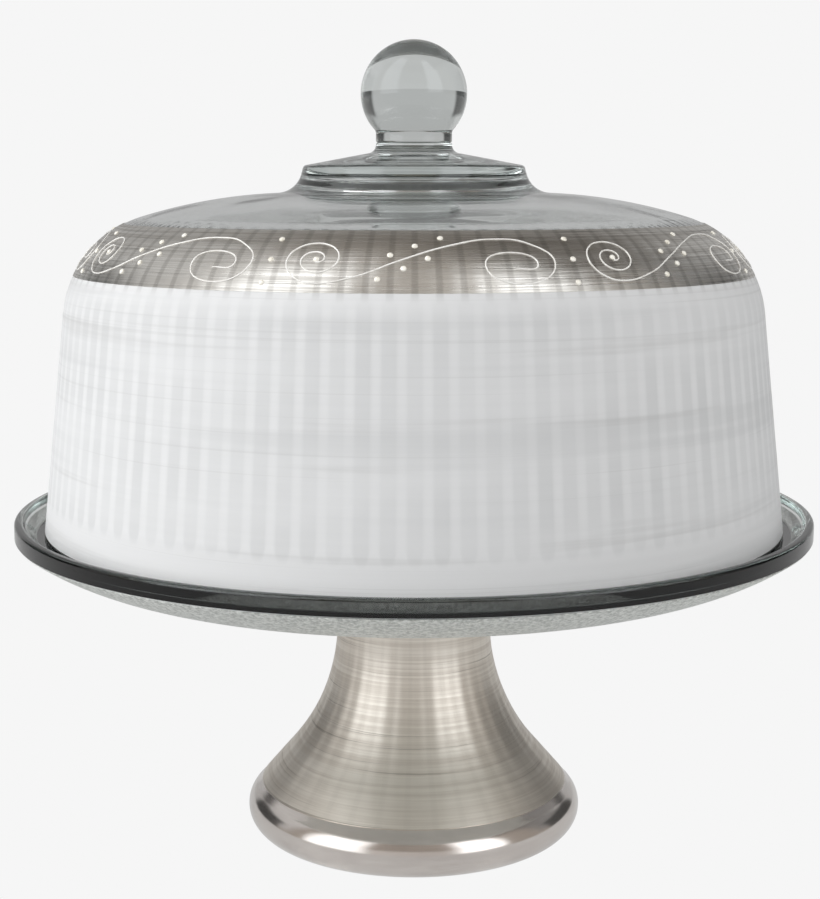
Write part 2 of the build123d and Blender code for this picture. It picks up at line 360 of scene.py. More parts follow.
@dataclass(frozen=True)
class FrostedCoat:
    """White frosting brushed round the cover's wall, with painted shade between the glass ribs behind it
    and painted highlight lines along their edges.
    """

    rib_count: int
    rib_foot: float
    rib_head: float
    bright: Colour = (0.93, 0.935, 0.94, 1)
    shaded: Colour = (0.69, 0.70, 0.705, 1)
    streak: Colour = (0.58, 0.58, 0.575, 1)
    glint: Colour = (0.98, 0.98, 0.98, 1)
    rib_round: float = 5.0 * MM     # height of the ribs' rounded feet
    rib_rise: float = 3.5 * MM      # height over which a rib's foot fades in
    rib_fade: float = 12.0 * MM     # height over which its head fades out
    stub: float = 5.0 * MM          # dark end of a rib, next to the silver band
    # strength of the painted shade between the ribs
    rib_tint: float = 0.48
    stub_tint: float = 0.45
    glow: float = 0.35              # share of the light that passes through the coat

    def make(self) -> bpy.types.Material:
        """Builds the material."""
        recipe = Recipe.of_material("frosted_white")
        place = Place.of(recipe)
        wave = place.ribs(self.rib_count)
        rounded = self.rib_foot + (1 - wave) * (1 - wave) * self.rib_round
        lower = recipe.ramp(place.z - rounded, 0.0, self.rib_rise)
        upper = 1 - recipe.ramp(place.z, self.rib_head - self.rib_fade, self.rib_head)
        groove = recipe.ramp(wave, 0.0, 0.56)
        rib = (place.turn * (self.rib_count / (2 * math.pi)) + 0.5).math("FLOOR")
        uneven = recipe.node("TexWhiteNoise", {"noise_dimensions": "1D"}, {"W": rib})
        patch = recipe.ramp(place.brushed(8.0, 34.0), 0.28, 0.68)
        # Painted shade: ribs masks the bands between the glass ribs, whose colour is mixed towards
        # shaded.
        ribs = groove * lower * upper * (0.25 + 0.75 * patch) * (0.55 + 0.45 * uneven)
        brushing = place.brushed(4.0, 420.0)
        streaks = recipe.ramp(place.brushed(6.0, 190.0), 0.56, 0.74)
        hairs = recipe.ramp(place.brushed(3.0, 760.0), 0.60, 0.70)
        ledges = recipe.ramp(place.brushed(3.0, 75.0), 0.50, 0.62)
        # Painted highlight: thin lines along the rib edges are lightened towards glint.
        rib_edge_highlight = groove * (1 - groove) * lower * upper * patch
        colour = recipe.mix(ribs * self.rib_tint, self.bright, self.shaded)
        colour = recipe.mix(rib_edge_highlight * 0.30, colour, self.glint)
        colour = recipe.mix(brushing * 0.24 + ledges * 0.22, colour, self.shaded)
        colour = recipe.mix(streaks * 0.26 + hairs * 0.16, colour, self.streak)
        near_band = recipe.ramp(place.z, self.rib_head - self.stub, self.rib_head)
        stubs = recipe.ramp(wave, 0.60, 0.95) * near_band
        colour = recipe.mix(stubs * self.stub_tint, colour, self.streak)
        relief = brushing * 0.3 + ribs * 0.8
        normal = recipe.bump(relief, 0.22 * MM, 0.35)
        front = recipe.node("BsdfPrincipled", None, {
            "Base Color": colour,
            "Roughness": 0.40 + brushing * 0.2,
            "Specular IOR Level": 0.35,
            "Normal": normal,
        })
        through = recipe.node("BsdfTranslucent", None, {"Color": colour})
        shader = recipe.node("MixShader", None, {0: self.glow, 1: front, 2: through})
        return recipe.finish(shader)


@dataclass(frozen=True)
class SatinSilver:
    """Warm satin silver on the pedestal, finely brushed round the axis, with a few dark scratches and
    painted shade lines in the rib grooves.
    """

    rib_count: int
    light: Colour = (0.90, 0.85, 0.77, 1)
    dark: Colour = (0.62, 0.56, 0.49, 1)
    scratch_and_rib_shade: Colour = (0.20, 0.17, 0.14, 1)
    # rib_tint is the strength of the painted shade along the rib grooves.
    rib_tint: float = 0.05
    scratch_tint: float = 0.42
    roughness: float = 0.32

    def make(self) -> bpy.types.Material:
        """Builds the material."""
        recipe = Recipe.of_material("satin_silver")
        place = Place.of(recipe)
        broad = place.brushed(9.0, 30.0)
        fine = place.brushed(12.0, 1100.0)
        scratches = recipe.ramp(place.brushed(10.0, 900.0), 0.62, 0.72)
        ribs = recipe.ramp(place.ribs(self.rib_count), 0.74, 0.99)
        colour = recipe.mix(broad * 0.45 + recipe.ramp(fine, 0.30, 0.70) * 0.5, self.light, self.dark)
        colour = recipe.mix(scratches * self.scratch_tint, colour, self.scratch_and_rib_shade)
        # Painted shade: dark lines along the grooves between the raised ribs.
        colour = recipe.mix(ribs * self.rib_tint, colour, self.scratch_and_rib_shade)
        shader = recipe.node("BsdfPrincipled", None, {
            "Base Color": colour,
            "Metallic": 1.0,
            "Roughness": self.roughness + fine * 0.16,
            "Normal": recipe.bump(fine + scratches * 0.5, 0.05 * MM, 0.5),
        })
        return recipe.finish(shader)


@dataclass(frozen=True)
class BrightLining:
    """Mirror-bright silver behind the clear foot."""

    colour: Colour = (0.94, 0.89, 0.86, 1)
    worn: Colour = (0.66, 0.60, 0.56, 1)

    def make(self) -> bpy.types.Material:
        """Builds the material."""
        recipe = Recipe.of_material("bright_silver")
        place = Place.of(recipe)
        broad = place.brushed(30.0, 120.0)
        shader = recipe.node("BsdfPrincipled", None, {
            "Base Color": recipe.mix(broad * 0.6, self.colour, self.worn),
            "Metallic": 1.0,
            "Roughness": 0.07 + broad * 0.12,
        })
        return recipe.finish(shader)


@dataclass(frozen=True)
class PebbledSilver:
    """Silver-grey coat under the plate, pebbled like fine sugar, with painted glints for its sparkle."""

    base: Colour = (0.90, 0.92, 0.89, 1)
    dark: Colour = (0.36, 0.38, 0.36, 1)
    spark: Colour = (1.0, 1.0, 0.98, 1)
    grain: float = 760.0

    def make(self) -> bpy.types.Material:
        """Builds the material."""
        recipe = Recipe.of_material("textured_silver")
        place = Place.of(recipe)
        spot = place.spot()
        grains = recipe.noise(spot, self.grain, 2.0, 0.6)
        patches = recipe.noise(spot, 130.0, 3.0, 0.6)
        cells = recipe.node("TexVoronoi", {"feature": "F1"}, {"Vector": spot, "Scale": 620.0})
        # Painted glints: sparkle mixes the near-white spark colour into the coat at the cell centres,
        # inside some patches.
        sparkle = recipe.ramp(cells, 0.24, 0.08) * recipe.ramp(patches, 0.42, 0.60)
        colour = recipe.mix(recipe.ramp(grains, 0.30, 0.70) * 0.6 + patches * 0.3, self.base, self.dark)
        colour = recipe.mix(sparkle, colour, self.spark)
        shader = recipe.node("BsdfPrincipled", None, {
            "Base Color": colour,
            "Metallic": 0.55,
            "Roughness": 0.40 + grains * 0.2,
            "Normal": recipe.bump(grains + cells, 0.60 * MM, 0.8),
        })
        return recipe.finish(shader)


@dataclass(frozen=True)
class Enamel:
    """Raised fired enamel, glossy, with uneven colour."""

    name: str
    colour: Colour
    shade: Colour

    def make(self) -> bpy.types.Material:
        """Builds the material."""
        recipe = Recipe.of_material(self.name)
        place = Place.of(recipe)
        spot = place.spot()
        cloud = recipe.noise(spot, 420.0, 2.0)
        shader = recipe.node("BsdfPrincipled", None, {
            "Base Color": recipe.mix(recipe.ramp(cloud, 0.35, 0.75), self.colour, self.shade),
            "Roughness": 0.16 + cloud * 0.12,
            "Coat Weight": 0.6,
            "Coat Roughness": 0.05,
            "Normal": recipe.bump(cloud, 0.08 * MM, 0.4),
        })
        return recipe.finish(shader)


# ------------------------------------------------------------------ turning


def turned_point(centre: Point, radius: float, degrees: float) -> Point:
    """The point of a circle in the half section at an elevation in degrees."""
    angle = math.radians(degrees)
    return (centre[0] + radius * math.cos(angle), centre[1] + radius * math.sin(angle))


class Outline:
    """A half section, as (radius, height) points in the order that a lathe tool follows them."""

    def __init__(self) -> None:
        """Starts with no points."""
        self.points: list[Point] = []

    def go(self, *points: Point) -> "Outline":
        """Goes straight to each point."""
        self.points += points
        return self

    def steps(self, end: Point, count: int) -> "Outline":
        """Goes straight to a point in equal steps, so that the surface has rows to be shaped by."""
        start = self.points[-1]
        for index in range(1, count + 1):
            share = index / count
            self.points.append((
                start[0] + (end[0] - start[0]) * share,
                start[1] + (end[1] - start[1]) * share,
            ))
        return self

    def arc(self, centre: Point, radius: float, start: float, end: float, count: int) -> "Outline":
        """Follows a circle.

        Args:
            centre: the circle's centre.
            radius: its radius.
            start: elevation in degrees where the arc starts.
            end: elevation in degrees where it ends.
            count: how many straight steps it is made of.

        Returns:
            This outline.
        """
        for index in range(count + 1):
            self.points.append(turned_point(centre, radius, start + (end - start) * index / count))
        return self

    def round(self, corner: Point, radius: float, after: Point, count: int = 6) -> "Outline":
        """Turns a corner on a circle that touches both of its sides.

        Args:
            corner: where the two sides would meet.
            radius: the circle's radius.
            after: a point on the second side.
            count: how many straight steps the curve is made of.

        Returns:
            This outline.
        """
        before = self.points[-1]
        into = (Vector(corner) - Vector(before)).normalized()
        away = (Vector(after) - Vector(corner)).normalized()
        turn = into.angle_signed(away)
        setback = abs(radius * math.tan(turn / 2))
        start = Vector(corner) - into * setback
        side = Vector((into.y, -into.x)) * (1 if turn > 0 else -1)
        centre = start + side * radius
        for index in range(count + 1):
            arm = (start - centre).copy()
            arm.rotate(Matrix.Rotation(-turn * index / count, 2))
            self.points.append(tuple(centre + arm))
        return self


def start_mesh(name: str) -> bpy.types.Object:
    """Adds one vertex at the origin, in edit mode, and returns its object."""
    bpy.ops.object.select_all(action="DESELECT")
    bpy.ops.mesh.primitive_plane_add(size=MM)
    piece = bpy.context.object
    piece.name = name
    piece.data.name = name
    bpy.ops.object.mode_set(mode="EDIT")
    bpy.ops.mesh.select_all(action="SELECT")
    bpy.ops.mesh.merge(type="CENTER")
    return piece


def weld_all(threshold: float = WELD) -> None:
    """Welds the whole mesh, in edit mode, and leaves it all selected."""
    bpy.ops.mesh.select_all(action="SELECT")
    bpy.ops.mesh.remove_doubles(threshold=threshold)
    bpy.ops.mesh.select_all(action="SELECT")


@dataclass(frozen=True)
class Ribs:
    """Ribs pressed into a turned piece: how many, how deep, and how much of that at each place."""

    count: int
    depth: float
    wanted: Callable[[float, float], float]
    columns: int = 6            # steps that each rib is turned in

    def press(self, piece: bpy.types.Object) -> None:
        """Presses one rib into the sector that has been turned, in edit mode."""
        sector = bmesh.from_edit_mesh(piece.data)
        groups: dict[tuple[int, int], list[int]] = {}
        for vertex in sector.verts:
            turn = math.atan2(vertex.co.y, vertex.co.x)
            crest = 0.5 - 0.5 * math.cos(turn * self.count)
            radius = math.hypot(vertex.co.x, vertex.co.y)
            share = round(RIB_LEVELS * crest * self.wanted(radius, vertex.co.z))
            if share:
                groups.setdefault((round(radius / RIB_BELT), share), []).append(vertex.index)
        for (_, share), indices in groups.items():
            bpy.ops.mesh.select_all(action="DESELECT")
            sector = bmesh.from_edit_mesh(piece.data)
            sector.verts.ensure_lookup_table()
            reach = 0.0
            for index in indices:
                vertex = sector.verts[index]
                vertex.select_set(True)
                reach = max(reach, math.hypot(vertex.co.x, vertex.co.y))
            sector.select_flush_mode()
            scale = 1 - self.depth * share / RIB_LEVELS / reach
            bpy.ops.transform.resize(value=(scale, scale, 1), center_override=(0, 0, 0))


def spin_outline(
    name: str, points: list[Point], columns: int, ribs: Ribs | None = None
) -> bpy.types.Object:
    """Turns a half section into a closed piece.

    Args:
        name: the piece's name.
        points: the half section; it closes on the axis or on itself.
        columns: how many steps the full turn has, where there are no ribs.
        ribs: ribs to press in, or None; one sector is then turned, pressed and copied round.

    Returns:
        The new piece.
    """
    piece = start_mesh(name)
    last = (0.0, 0.0)
    for index, point in enumerate(points):
        step = (point[0] - last[0], 0, point[1] - last[1])
        if index == 0:
            bpy.ops.transform.translate(value=step)
        else:
            bpy.ops.mesh.extrude_region_move(TRANSFORM_OT_translate={"value": step})
        last = point
    weld_all()
    axis = {"center": (0, 0, 0), "axis": (0, 0, 1)}
    if ribs is None:
        bpy.ops.mesh.spin(steps=columns, angle=2 * math.pi, **axis)
    else:
        sector = 2 * math.pi / ribs.count
        bpy.ops.mesh.spin(steps=ribs.columns, angle=sector, **axis)
        weld_all()
        ribs.press(piece)
        bpy.ops.mesh.select_all(action="SELECT")
        bpy.ops.mesh.spin(steps=ribs.count - 1, angle=2 * math.pi - sector, dupli=True, **axis)
    weld_all()
    bpy.ops.mesh.normals_make_consistent(inside=False)
    bpy.ops.object.mode_set(mode="OBJECT")
    return piece


def finish_piece(
    piece: bpy.types.Object,
    body: Body,
    node: str,
    material: bpy.types.Material,
    edge: float = 32.0,
) -> None:
    """Smooths a piece, dresses it and ties it to the frame.

    Args:
        piece: the finished mesh.
        body: the body it moves with.
        node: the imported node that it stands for.
        material: its finish.
        edge: edges sharper than this many degrees stay sharp.
    """
    bpy.ops.object.select_all(action="DESELECT")
    piece.select_set(True)
    bpy.context.view_layer.objects.active = piece
    bpy.ops.object.shade_smooth_by_angle(angle=math.radians(edge))
    piece.data.materials.clear()
    piece.data.materials.append(material)
    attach(piece, body.value)
    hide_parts(node)
    log.info("%s: %d faces for %s", piece.name, len(piece.data.polygons), node)


# ------------------------------------------------------------------ stand


@dataclass
class Stand:
    """The footed plate: glass plate, its pebbled coat, the pedestal, its silver coat and lining."""

    columns: int = 360
    rim_width: float = 2.8 * MM
    rim_round: float = 1.3 * MM
    rim_side: float = 5.6 * MM
    seat_drop: float = 5.5 * MM         # the cover's ledge below the rim's top
    seat_outer: float = 135.4 * MM
    seat_inner: float = 121.8 * MM
    well_drop: float = 15.0 * MM        # the well's floor below the rim's top
    well_radius: float = 97.8 * MM
    well_edge: float = 6.0 * MM
    stem_radius: float = 27.8 * MM
    stem_length: float = 22.1 * MM      # straight stem between the plate and the flare
    flare_share: float = 0.79
    bead_circle: float = 53.0 * MM
    bead_radius: float = 8.7 * MM
    bead_height: float = 8.0 * MM
    bead_top: float = 55.0
    ring_width: float = 4.4 * MM
    wall: float = 4.8 * MM
    roof: float = 7.0 * MM
    joint_round: float = 5.0 * MM
    coat: float = 0.25 * MM
    undercoat_gap: float = 0.8 * MM
    cone_gap: float = 1.9 * MM          # bare cone between the silver coat and the bead
    coat_top: float = 110.0             # where the silver coat starts, in degrees round the joint
    knee_inset: float = 0.5 * MM
    knee_round: float = 6.0 * MM
    roof_round: float = 6.0 * MM
    lining_gap: float = 0.1 * MM        # air between the glass and the lining
    lining_lift: float = 2.0 * MM       # the lining's edge above the table
    seat_lip: float = 1.2 * MM          # round at the ledge's outer corner
    seat_round: float = 4.0 * MM        # round at its inner edge
    floor_round: float = 12.0 * MM      # round where the well's slope meets its floor
    rib_count: int = 35
    rib_depth: float = 0.14 * MM
    rib_start: float = 18.0 * MM        # height where the ribs start to show
    rib_fade: float = 8.0 * MM
    rim_radius: float = field(init=False)
    rim_top: float = field(init=False)
    underside: float = field(init=False)

    def __post_init__(self) -> None:
        """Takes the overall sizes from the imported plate."""
        self.rim_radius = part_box("cake_plate")[1].x
        self.rim_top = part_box("cake_plate")[1].z
        self.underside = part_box("cake_plate")[0].z

    @property
    def dish_rise(self) -> float:
        """How far the plate's underside climbs to the rim."""
        return self.rim_top - self.rim_side - self.underside

    @property
    def dish_width(self) -> float:
        """How wide the curved part of the underside is."""
        return self.rim_radius - self.well_radius

    @property
    def dish_radius(self) -> float:
        """Radius of the curve of the underside."""
        return (self.dish_width**2 + self.dish_rise**2) / (2 * self.dish_rise)

    @property
    def dish_centre(self) -> Point:
        """Centre of that curve."""
        return (self.well_radius, self.underside + self.dish_radius)

    @property
    def dish_turn(self) -> float:
        """How far round that curve the underside runs, in degrees."""
        return 2 * math.degrees(math.atan2(self.dish_rise, self.dish_width))

    @property
    def flare_top(self) -> float:
        """Height where the straight stem ends."""
        return self.underside - self.stem_length

    @property
    def flare_turn(self) -> float:
        """How far the flare turns, in degrees, before it runs out into the cone."""
        spread = self.cone_foot[0] - self.stem_radius
        drop = self.flare_top - self.cone_foot[1]
        return 2 * self.flare_share * math.degrees(math.atan2(spread, drop))

    @property
    def flare_radius(self) -> float:
        """Radius that makes stem, flare and cone tangent to each other."""
        spread = self.cone_foot[0] - self.stem_radius
        drop = self.flare_top - self.cone_foot[1]
        turn = math.radians(self.flare_turn)
        return (drop * math.sin(turn) - spread * math.cos(turn)) / (1 - math.cos(turn))

    @property
    def flare_end(self) -> Point:
        """Where the pedestal's flare runs out into the straight cone."""
        return turned_point(self.flare_centre, self.flare_radius, 180 + self.flare_turn)

    @property
    def cone_foot(self) -> Point:
        """Where the cone meets the foot's bead."""
        return turned_point((self.bead_circle, self.bead_height), self.bead_radius, self.bead_top)

    @property
    def flare_centre(self) -> Point:
        """Centre of the flare's curve."""
        return (self.stem_radius + self.flare_radius, self.flare_top)

    @property
    def joint_centre(self) -> Point:
        """Centre of the curve between the stem and the plate."""
        return (self.stem_radius + self.joint_round, self.underside - self.joint_round)

    @property
    def bead_drop(self) -> float:
        """How far below its centre the table cuts the bead, in degrees round it."""
        return math.degrees(math.asin(self.bead_height / self.bead_radius))

    @property
    def foot_inner(self) -> float:
        """Inner radius of the flat ring that the foot stands on."""
        bead = (self.bead_circle, self.bead_height)
        return turned_point(bead, self.bead_radius, -self.bead_drop)[0] - self.ring_width

    @property
    def knee(self) -> Point:
        """Where the foot's inner side turns into the cone's."""
        return (self.foot_inner - self.knee_inset, self.bead_height + self.wall)

    @property
    def cone_inner_end(self) -> Point:
        """Where the flare's inner side runs out into the cone's."""
        return turned_point(self.flare_centre, self.flare_radius + self.wall, 180 + self.flare_turn)

    def plate(self) -> bpy.types.Object:
        """Turns the glass plate."""
        seat = self.rim_top - self.seat_drop
        floor = self.rim_top - self.well_drop
        side = (self.rim_radius, self.rim_top)
        inner = (self.rim_radius - self.rim_width, self.rim_top)
        outline = Outline().go((0, self.underside), (self.stem_radius, self.underside))
        outline.steps((self.well_radius, self.underside), 8)
        outline.arc(self.dish_centre, self.dish_radius, -90, self.dish_turn - 90, 22)
        outline.round(side, self.rim_round, inner, 8)
        outline.round(inner, self.rim_round, (self.seat_outer, seat), 8)
        outline.round((self.seat_outer, seat), self.seat_lip, (self.seat_inner, seat), 6)
        floor_end = (self.well_radius + self.well_edge, floor)
        outline.round((self.seat_inner, seat), self.seat_round, floor_end, 8)
        outline.round(floor_end, self.floor_round, (0, floor), 8)
        outline.steps((0, floor), 8)
        return spin_outline("plate_glass", outline.points, self.columns)

    def undercoat(self) -> bpy.types.Object:
        """Turns the thin pebbled coat that follows the plate's underside."""
        outline = Outline().go((self.stem_radius + self.joint_round, self.underside - HAIR_GAP))
        end = self.dish_turn - 90 - math.degrees(self.undercoat_gap / self.dish_radius)
        outline.arc(self.dish_centre, self.dish_radius + HAIR_GAP, -90, end, 22)
        outline.arc(self.dish_centre, self.dish_radius + self.coat, end, -90, 22)
        outline.go((self.stem_radius + self.joint_round, self.underside - self.coat))
        outline.go(outline.points[0])
        return spin_outline("plate_undercoat", outline.points, self.columns)

    def pedestal(self) -> bpy.types.Object:
        """Turns the hollow glass pedestal with its round foot."""
        bead = (self.bead_circle, self.bead_height)
        roof = self.underside - self.roof
        outline = Outline().go((0, self.underside - HAIR_GAP))
        outline.arc(self.joint_centre, self.joint_round - HAIR_GAP, 90, 180, 8)
        outline.arc(self.flare_centre, self.flare_radius, 180, 180 + self.flare_turn, 20)
        outline.arc(bead, self.bead_radius, self.bead_top, -self.bead_drop, 26)
        outline.go((self.foot_inner, 0))
        outline.round(self.knee, self.knee_round, self.cone_inner_end, 6)
        outline.arc(self.flare_centre, self.flare_radius + self.wall, 180 + self.flare_turn, 180, 20)
        outline.round((self.stem_radius - self.wall, roof), self.roof_round, (0, roof), 8)
        outline.go((0, roof))
        return spin_outline("pedestal_glass", outline.points, self.columns)

    def silver_coat(self) -> bpy.types.Object:
        """Turns the silver coat on the stem and cone, which shows the glass ribs."""
        foot = Vector(self.cone_foot)
        rows = 10
        outline = Outline()
        outline.arc(self.joint_centre, self.joint_round - HAIR_GAP * 2, self.coat_top, 180, 6)
        outline.arc(self.flare_centre, self.flare_radius - HAIR_GAP, 180, 180 + self.flare_turn, 26)
        slope = (foot - Vector(self.flare_end)).normalized()
        out = Vector((-slope.y, slope.x)) * self.coat
        coat_end = foot + slope * (self.cone_gap / slope.y)
        outline.steps((coat_end.x + out.x * 0.1, coat_end.y + out.y * 0.1), rows)
        outline.go((outline.points[-1][0] + out.x, outline.points[-1][1] + out.y))
        outline.steps((self.flare_end[0] + out.x, self.flare_end[1] + out.y), rows)
        outline.arc(self.flare_centre, self.flare_radius - self.coat, 180 + self.flare_turn, 180, 26)
        outline.arc(self.joint_centre, self.joint_round - self.coat, 180, self.coat_top, 6)
        outline.go(outline.points[0])
        top = self.underside - 3 * self.joint_round

        def fade(radius: float, height: float) -> float:
            """Ribs fade below the plate and above the foot."""
            above = min(1.0, max(0.0, (height - self.rib_start) / self.rib_fade))
            return above * min(1.0, max(0.0, (top - height) / self.rib_fade))

        ribs = Ribs(self.rib_count, -self.rib_depth, fade, columns=12)
        return spin_outline("pedestal_silver_coat", outline.points, self.columns, ribs)

    def lining(self) -> bpy.types.Object:
        """Turns the bright lining inside the foot."""
        knee = self.knee
        inner_end = self.cone_inner_end
        edge = self.foot_inner - self.lining_gap
        outline = Outline().go((edge, self.lining_lift))
        outline.round((knee[0] - HAIR_GAP, knee[1]), self.knee_round, inner_end, 6)
        outline.go((inner_end[0] - HAIR_GAP, inner_end[1]))
        outline.go((inner_end[0] - self.coat, inner_end[1] - self.coat))
        lower = (edge - self.coat, self.lining_lift)
        outline.round((knee[0] - self.coat, knee[1] - self.coat / 2), self.knee_round, lower, 6)
        outline.go(lower, outline.points[0])
        return spin_outline("foot_lining", outline.points, self.columns)

    def make(self) -> None:
        """Makes and dresses every piece of the stand."""
        glass = ClearGlass().make()
        finish_piece(self.plate(), Body.STAND, "cake_plate", glass)
        finish_piece(self.undercoat(), Body.STAND, "plate_undercoat", PebbledSilver().make())
        finish_piece(self.pedestal(), Body.STAND, "pedestal", SilveredGlass().make())
        silver = SatinSilver(self.rib_count).make()
        finish_piece(self.silver_coat(), Body.STAND, "pedestal_silver_coat", silver)
        finish_piece(self.lining(), Body.STAND, "pedestal_lining", BrightLining().make())


# ------------------------------------------------------------------ cover


@dataclass
class Cover:
    """The lift-off cover: glass bell, knob, silver band, frosted coat, scrolls and dots."""

    rib_count: int = 104
    columns: int = 360
    rib_depth: float = 0.55 * MM
    draft: float = 6.4
    wall: float = 4.6 * MM
    wall_height: float = 77.7 * MM
    shoulder_radius: float = 38.9 * MM
    shoulder_turn: float = 66.4
    crown_end: float = 89.7             # elevation of the crown where the collar begins
    collar_foot: float = 41.8 * MM
    collar_radius: float = 39.2 * MM
    collar_height: float = 9.4 * MM
    collar_rise: float = 10.6
    collar_roof: float = 6.0 * MM
    recess_radius: float = 33.0 * MM
    neck_radius: float = 13.5 * MM
    knob_radius: float = 18.8 * MM
    knob_neck: float = 3.9 * MM         # straight neck below the ball
    coat: float = 0.25 * MM
    band_relief: float = 0.10 * MM
    lip_round: float = 1.2 * MM         # rounds at the bell's foot
    collar_trim: float = 7.0 * MM       # crown taken up by the round below the collar
    rib_start: float = 11.0 * MM        # ribs and frosting pattern start this far above the foot
    rib_top: float = 92.0 * MM          # and the frosting's pattern ends here
    rib_limit: float = 96.0 * MM        # radius on the shoulder where the ribs run out
    edge_gap: float = 1.5 * MM
    band_bottom: float = 26.2
    band_top: float = 63.2
    foot_radius: float = field(init=False)
    foot: float = field(init=False)
    joint: float = field(init=False)

    def __post_init__(self) -> None:
        """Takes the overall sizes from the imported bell."""
        self.foot_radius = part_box("dome_glass")[1].x
        self.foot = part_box("dome_glass")[0].z
        self.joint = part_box("dome_glass")[1].z

    @property
    def shoulder_centre(self) -> Point:
        """Centre of the shoulder's curve."""
        lean = math.radians(self.draft)
        return (
            self.foot_radius - self.wall_height * math.tan(lean) - self.shoulder_radius * math.cos(lean),
            self.foot + self.wall_height - self.shoulder_radius * math.sin(lean),
        )

    @property
    def crown_radius(self) -> float:
        """Radius of the crown, which is tangent to the shoulder and ends at the collar's foot."""
        start = self.draft + self.shoulder_turn
        head = turned_point(self.shoulder_centre, self.shoulder_radius, start)
        fall = math.cos(math.radians(start)) - math.cos(math.radians(self.crown_end))
        return (head[0] - self.collar_foot) / fall

    @property
    def crown_centre(self) -> Point:
        """Centre of the crown's curve, in line with the shoulder's."""
        centre = self.shoulder_centre
        reach = self.crown_radius - self.shoulder_radius
        return turned_point(centre, -reach, self.draft + self.shoulder_turn)

    def wall_point(self, height: float, inset: float = 0.0) -> Point:
        """The point of the leaning wall at a height, moved inwards."""
        lean = math.radians(self.draft)
        radius = self.foot_radius - (height - self.foot) * math.tan(lean) - inset / math.cos(lean)
        return (radius, height)

    def crown_elevation(self, radius: float, inset: float = 0.0) -> float:
        """Elevation on the crown's circle, in degrees, where it has this radius."""
        reach = (radius - self.crown_centre[0]) / (self.crown_radius - inset)
        return math.degrees(math.acos(reach))

    def bell(self) -> bpy.types.Object:
        """Turns the glass bell, with its collar and recess, and presses the ribs inside it."""
        shoulder_end = self.draft + self.shoulder_turn
        collar_foot = turned_point(
            self.crown_centre, self.crown_radius, self.crown_elevation(self.collar_foot)
        )
        collar_top = (self.collar_radius, collar_foot[1] + self.collar_height)
        climb = math.tan(math.radians(self.collar_rise))
        neck_foot = (self.neck_radius, collar_top[1] + (collar_top[0] - self.neck_radius) * climb)
        outline = Outline().go((0, self.joint), (self.neck_radius - 0.5 * MM, self.joint))
        outline.go((self.neck_radius, self.joint - 0.3 * MM))
        outline.round(neck_foot, 3 * MM, collar_top, 8)
        outline.round(collar_top, 1.5 * MM, collar_foot, 8)
        crown_start = self.crown_elevation(self.collar_foot + self.collar_trim)
        outline.round(
            collar_foot, 9 * MM, turned_point(self.crown_centre, self.crown_radius, crown_start), 10
        )
        outline.arc(self.crown_centre, self.crown_radius, crown_start, shoulder_end, 12)
        outline.arc(self.shoulder_centre, self.shoulder_radius, shoulder_end, self.draft, 20)
        foot_outer = (self.foot_radius, self.foot)
        foot_inner = self.wall_point(self.foot, self.wall)
        outline.steps(self.wall_point(self.foot + 4 * MM), 6)
        outline.round(foot_outer, self.lip_round, foot_inner, 5)
        above_foot = self.wall_point(self.foot + 9 * MM, self.wall)
        outline.round(foot_inner, self.lip_round, above_foot, 5)
        outline.go(above_foot)
        wall_head = turned_point(self.shoulder_centre, self.shoulder_radius - self.wall, self.draft)
        outline.steps(wall_head, 24)
        outline.arc(
            self.shoulder_centre, self.shoulder_radius - self.wall, self.draft, shoulder_end, 22
        )
        inner_end = self.crown_elevation(self.recess_radius + 4 * MM, self.wall)
        outline.arc(self.crown_centre, self.crown_radius - self.wall, shoulder_end, inner_end, 14)
        roof = collar_top[1] - self.collar_roof
        recess_foot = turned_point(
            self.crown_centre,
            self.crown_radius - self.wall,
            self.crown_elevation(self.recess_radius, self.wall),
        )
        outline.round(recess_foot, 2.5 * MM, (self.recess_radius, roof), 6)
        outline.round((self.recess_radius, roof), 4 * MM, (0, roof), 8)
        outline.steps((0, roof), 6)
        inner_edge = self.wall * 0.6
        centre = self.shoulder_centre

        def inside(radius: float, height: float) -> float:
            """Ribs stand on the inside only, from above the foot to the shoulder's top."""
            if height < centre[1]:
                depth = self.wall_point(height)[0] - radius
            else:
                depth = self.shoulder_radius - math.hypot(radius - centre[0], height - centre[1])
            if depth < inner_edge or radius < self.rib_limit or depth > self.wall * 1.2:
                return 0.0
            start = (height - self.foot - self.rib_start) / (5 * MM)
            end = (radius - self.rib_limit) / (4 * MM)
            return min(1.0, max(0.0, start)) * min(1.0, max(0.0, end))

        ribs = Ribs(self.rib_count, self.rib_depth, inside, columns=4)
        return spin_outline("bell_glass", outline.points, self.columns, ribs)

    def knob(self) -> bpy.types.Object:
        """Turns the solid glass knob on its short neck."""
        lift = self.knob_neck + math.sqrt(self.knob_radius**2 - self.neck_radius**2)
        centre = (0.0, self.joint + lift)
        low = -math.degrees(math.acos(self.neck_radius / self.knob_radius))
        ball_foot = turned_point(centre, self.knob_radius, low)
        seam = self.joint + HAIR_GAP
        outline = Outline().go((0, seam), (self.neck_radius - 0.5 * MM, seam))
        outline.go((self.neck_radius, self.joint + 0.4 * MM))
        outline.round(ball_foot, 1.6 * MM, turned_point(centre, self.knob_radius, low + 10), 6)
        outline.arc(centre, self.knob_radius, low + 10, 90, 40)
        outline.points[-1] = (0.0, centre[1] + self.knob_radius)
        return spin_outline("knob_glass", outline.points, 160)

    def band(self) -> bpy.types.Object:
        """Turns the silver band and lets the ribs show in its surface."""
        centre, reach = self.shoulder_centre, self.shoulder_radius
        outline = Outline()
        outline.arc(centre, reach + HAIR_GAP, self.band_bottom, self.band_top, 26)
        outline.arc(centre, reach + self.coat, self.band_top, self.band_bottom, 26)
        outline.go(outline.points[0])
        ribs = Ribs(self.rib_count, -self.band_relief, lambda radius, height: 1.0)
        return spin_outline("silver_band", outline.points, self.columns, ribs)

